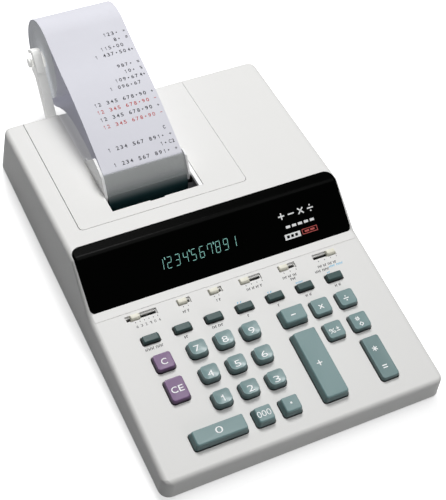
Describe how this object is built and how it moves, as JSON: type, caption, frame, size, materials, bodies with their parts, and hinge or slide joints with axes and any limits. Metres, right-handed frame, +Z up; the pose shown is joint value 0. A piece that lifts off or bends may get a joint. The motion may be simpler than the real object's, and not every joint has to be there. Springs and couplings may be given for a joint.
{
  "type": "printing desk calculator",
  "caption": "Printing desk calculator with sloping keyboard, slide switches, dark display window, hinged printer cover and a paper roll on two rear arms.",
  "frame": {"origin": "on the desk, under the middle of the whole object, case and paper roll together", "axes": "+Z up, +Y away from the user towards the paper roll, +X to the user's right"},
  "size_m": [0.2, 0.3544, 0.0896],
  "materials": {
    "case_plastic": "fine matt, warm white",
    "cream_plastic": "smooth, cream white",
    "window": "polished black, backed by the display",
    "smoked_plastic": "clear, smoked grey",
    "key_teal": "satin grey-green",
    "key_purple": "satin purple",
    "key_dark": "satin dark green",
    "paper": "uncoated",
    "rubber": "matt",
    "steel": "plain sheet",
    "dark_plastic": "matt black",
    "board": "lacquered circuit board",
    "tube_glass": "clear glass tube"
  },
  "bodies": {
    "case": {"bottom_case": "case_plastic", "top_case": "case_plastic", "display_window": "window", "tear_bar": "smoked_plastic", "paper_tape": "paper", "holder_arm_left": "cream_plastic", "holder_arm_right": "cream_plastic", "roll_spindle": "cream_plastic", "printer_frame": "steel", "paper_guide": "case_plastic", "drive_motor": "steel", "display_tube": "tube_glass", "main_board": "board", "key_mat": "rubber", "transformer": "steel", "mains_inlet": "dark_plastic", "foot_front_left": "rubber", "foot_front_right": "rubber", "foot_rear_left": "rubber", "foot_rear_right": "rubber"},
    "cover": {"printer_cover": "case_plastic"},
    "roll": {"paper_roll": "paper"},
    "platen": {"platen_roller": "rubber"},
    "drum": {"print_drum": "dark_plastic"},
    "spool_left": {"ribbon_spool_left": "dark_plastic"},
    "spool_right": {"ribbon_spool_right": "dark_plastic"},
    "key_7_body": {"key_7": "key_teal"},
    "key_8_body": {"key_8": "key_teal"},
    "key_9_body": {"key_9": "key_teal"},
    "key_4_body": {"key_4": "key_teal"},
    "key_5_body": {"key_5": "key_teal"},
    "key_6_body": {"key_6": "key_teal"},
    "key_1_body": {"key_1": "key_teal"},
    "key_2_body": {"key_2": "key_teal"},
    "key_3_body": {"key_3": "key_teal"},
    "key_0_body": {"key_0": "key_teal"},
    "key_000_body": {"key_000": "key_teal"},
    "key_point_body": {"key_point": "key_teal"},
    "key_plus_body": {"key_plus": "key_teal"},
    "key_minus_body": {"key_minus": "key_teal"},
    "key_times_body": {"key_times": "key_teal"},
    "key_divide_body": {"key_divide": "key_teal"},
    "key_percent_body": {"key_percent": "key_teal"},
    "key_subtotal_body": {"key_subtotal": "key_teal"},
    "key_total_body": {"key_total": "key_teal"},
    "key_c_body": {"key_c": "key_purple"},
    "key_ce_body": {"key_ce": "key_purple"},
    "key_f1_body": {"key_f1": "key_dark"},
    "key_f2_body": {"key_f2": "key_dark"},
    "key_f3_body": {"key_f3": "key_dark"},
    "key_f4_body": {"key_f4": "key_dark"},
    "key_f5_body": {"key_f5": "key_dark"},
    "key_f6_body": {"key_f6": "key_dark"},
    "key_f7_body": {"key_f7": "key_dark"},
    "slide_1_body": {"slide_knob_1": "cream_plastic"},
    "slide_2_body": {"slide_knob_2": "cream_plastic"},
    "slide_3_body": {"slide_knob_3": "cream_plastic"},
    "slide_4_body": {"slide_knob_4": "cream_plastic"},
    "slide_5_body": {"slide_knob_5": "cream_plastic"},
    "slide_6_body": {"slide_knob_6": "cream_plastic"}
  },
  "joints": [
    {"name": "cover_hinge", "type": "hinge", "parent": "case", "child": "cover", "pos_m": [-0.0224, 0.0005, 0.05006], "axis": [1, 0, 0], "range_deg": [0, 65]},
    {"name": "roll_spin", "type": "hinge", "parent": "case", "child": "roll", "pos_m": [-0.0254, 0.1479, 0.0605], "axis": [1, 0, 0], "continuous": true},
    {"name": "platen_spin", "type": "hinge", "parent": "case", "child": "platen", "pos_m": [-0.0254, 0.0266, 0.035], "axis": [1, 0, 0], "continuous": true},
    {"name": "drum_spin", "type": "hinge", "parent": "case", "child": "drum", "pos_m": [-0.0254, 0.0106, 0.033], "axis": [1, 0, 0], "continuous": true},
    {"name": "spool_left_spin", "type": "hinge", "parent": "case", "child": "spool_left", "pos_m": [-0.072, 0.0186, 0.0317], "axis": [0, 0, 1], "continuous": true},
    {"name": "spool_right_spin", "type": "hinge", "parent": "case", "child": "spool_right", "pos_m": [0.0235, 0.0186, 0.0317], "axis": [0, 0, 1], "continuous": true},
    {"name": "slide_1_shift", "type": "slide", "parent": "case", "child": "slide_1_body", "axis": [1, 0, 0], "range_m": [-0.0029, 0.0118]},
    {"name": "slide_2_shift", "type": "slide", "parent": "case", "child": "slide_2_body", "axis": [1, 0, 0], "range_m": [0, 0.0024]},
    {"name": "slide_3_shift", "type": "slide", "parent": "case", "child": "slide_3_body", "axis": [1, 0, 0], "range_m": [0, 0.0024]},
    {"name": "slide_4_shift", "type": "slide", "parent": "case", "child": "slide_4_body", "axis": [1, 0, 0], "range_m": [0, 0.0086]},
    {"name": "slide_5_shift", "type": "slide", "parent": "case", "child": "slide_5_body", "axis": [1, 0, 0], "range_m": [0, 0.0055]},
    {"name": "slide_6_shift", "type": "slide", "parent": "case", "child": "slide_6_body", "axis": [1, 0, 0], "range_m": [-0.0099, 0]},
    {"name": "key_7_press", "type": "slide", "parent": "case", "child": "key_7_body", "axis": [0, 0.0792, -0.9969], "range_m": [0, 0.003], "stiffness_N_per_m": 200, "springref_m": -0.001},
    {"name": "key_8_press", "type": "slide", "parent": "case", "child": "key_8_body", "axis": [0, 0.0792, -0.9969], "range_m": [0, 0.003], "stiffness_N_per_m": 200, "springref_m": -0.001},
    {"name": "key_9_press", "type": "slide", "parent": "case", "child": "key_9_body", "axis": [0, 0.0792, -0.9969], "range_m": [0, 0.003], "stiffness_N_per_m": 200, "springref_m": -0.001},
    {"name": "key_4_press", "type": "slide", "parent": "case", "child": "key_4_body", "axis": [0, 0.0792, -0.9969], "range_m": [0, 0.003], "stiffness_N_per_m": 200, "springref_m": -0.001},
    {"name": "key_5_press", "type": "slide", "parent": "case", "child": "key_5_body", "axis": [0, 0.0792, -0.9969], "range_m": [0, 0.003], "stiffness_N_per_m": 200, "springref_m": -0.001},
    {"name": "key_6_press", "type": "slide", "parent": "case", "child": "key_6_body", "axis": [0, 0.0792, -0.9969], "range_m": [0, 0.003], "stiffness_N_per_m": 200, "springref_m": -0.001},
    {"name": "key_1_press", "type": "slide", "parent": "case", "child": "key_1_body", "axis": [0, 0.0792, -0.9969], "range_m": [0, 0.003], "stiffness_N_per_m": 200, "springref_m": -0.001},
    {"name": "key_2_press", "type": "slide", "parent": "case", "child": "key_2_body", "axis": [0, 0.0792, -0.9969], "range_m": [0, 0.003], "stiffness_N_per_m": 200, "springref_m": -0.001},
    {"name": "key_3_press", "type": "slide", "parent": "case", "child": "key_3_body", "axis": [0, 0.0792, -0.9969], "range_m": [0, 0.003], "stiffness_N_per_m": 200, "springref_m": -0.001},
    {"name": "key_0_press", "type": "slide", "parent": "case", "child": "key_0_body", "axis": [0, 0.0792, -0.9969], "range_m": [0, 0.003], "stiffness_N_per_m": 200, "springref_m": -0.001},
    {"name": "key_000_press", "type": "slide", "parent": "case", "child": "key_000_body", "axis": [0, 0.0792, -0.9969], "range_m": [0, 0.003], "stiffness_N_per_m": 200, "springref_m": -0.001},
    {"name": "key_point_press", "type": "slide", "parent": "case", "child": "key_point_body", "axis": [0, 0.0792, -0.9969], "range_m": [0, 0.003], "stiffness_N_per_m": 200, "springref_m": -0.001},
    {"name": "key_plus_press", "type": "slide", "parent": "case", "child": "key_plus_body", "axis": [0, 0.0792, -0.9969], "range_m": [0, 0.003], "stiffness_N_per_m": 200, "springref_m": -0.001},
    {"name": "key_minus_press", "type": "slide", "parent": "case", "child": "key_minus_body", "axis": [0, 0.0792, -0.9969], "range_m": [0, 0.003], "stiffness_N_per_m": 200, "springref_m": -0.001},
    {"name": "key_times_press", "type": "slide", "parent": "case", "child": "key_times_body", "axis": [0, 0.0792, -0.9969], "range_m": [0, 0.003], "stiffness_N_per_m": 200, "springref_m": -0.001},
    {"name": "key_divide_press", "type": "slide", "parent": "case", "child": "key_divide_body", "axis": [0, 0.0792, -0.9969], "range_m": [0, 0.003], "stiffness_N_per_m": 200, "springref_m": -0.001},
    {"name": "key_percent_press", "type": "slide", "parent": "case", "child": "key_percent_body", "axis": [0, 0.0792, -0.9969], "range_m": [0, 0.003], "stiffness_N_per_m": 200, "springref_m": -0.001},
    {"name": "key_subtotal_press", "type": "slide", "parent": "case", "child": "key_subtotal_body", "axis": [0, 0.0792, -0.9969], "range_m": [0, 0.003], "stiffness_N_per_m": 200, "springref_m": -0.001},
    {"name": "key_total_press", "type": "slide", "parent": "case", "child": "key_total_body", "axis": [0, 0.0792, -0.9969], "range_m": [0, 0.003], "stiffness_N_per_m": 200, "springref_m": -0.001},
    {"name": "key_c_press", "type": "slide", "parent": "case", "child": "key_c_body", "axis": [0, 0.0792, -0.9969], "range_m": [0, 0.003], "stiffness_N_per_m": 200, "springref_m": -0.001},
    {"name": "key_ce_press", "type": "slide", "parent": "case", "child": "key_ce_body", "axis": [0, 0.0792, -0.9969], "range_m": [0, 0.003], "stiffness_N_per_m": 200, "springref_m": -0.001},
    {"name": "key_f1_press", "type": "slide", "parent": "case", "child": "key_f1_body", "axis": [0, 0.0792, -0.9969], "range_m": [0, 0.003], "stiffness_N_per_m": 200, "springref_m": -0.001},
    {"name": "key_f2_press", "type": "slide", "parent": "case", "child": "key_f2_body", "axis": [0, 0.0792, -0.9969], "range_m": [0, 0.003], "stiffness_N_per_m": 200, "springref_m": -0.001},
    {"name": "key_f3_press", "type": "slide", "parent": "case", "child": "key_f3_body", "axis": [0, 0.0792, -0.9969], "range_m": [0, 0.003], "stiffness_N_per_m": 200, "springref_m": -0.001},
    {"name": "key_f4_press", "type": "slide", "parent": "case", "child": "key_f4_body", "axis": [0, 0.0792, -0.9969], "range_m": [0, 0.003], "stiffness_N_per_m": 200, "springref_m": -0.001},
    {"name": "key_f5_press", "type": "slide", "parent": "case", "child": "key_f5_body", "axis": [0, 0.0792, -0.9969], "range_m": [0, 0.003], "stiffness_N_per_m": 200, "springref_m": -0.001},
    {"name": "key_f6_press", "type": "slide", "parent": "case", "child": "key_f6_body", "axis": [0, 0.0792, -0.9969], "range_m": [0, 0.003], "stiffness_N_per_m": 200, "springref_m": -0.001},
    {"name": "key_f7_press", "type": "slide", "parent": "case", "child": "key_f7_body", "axis": [0, 0.0792, -0.9969], "range_m": [0, 0.003], "stiffness_N_per_m": 200, "springref_m": -0.001}
  ],
  "couplings": [
    {"joint": "platen_spin", "follows": "roll_spin", "ratio": 3.8125},
    {"joint": "spool_right_spin", "follows": "spool_left_spin", "ratio": 1}
  ]
}
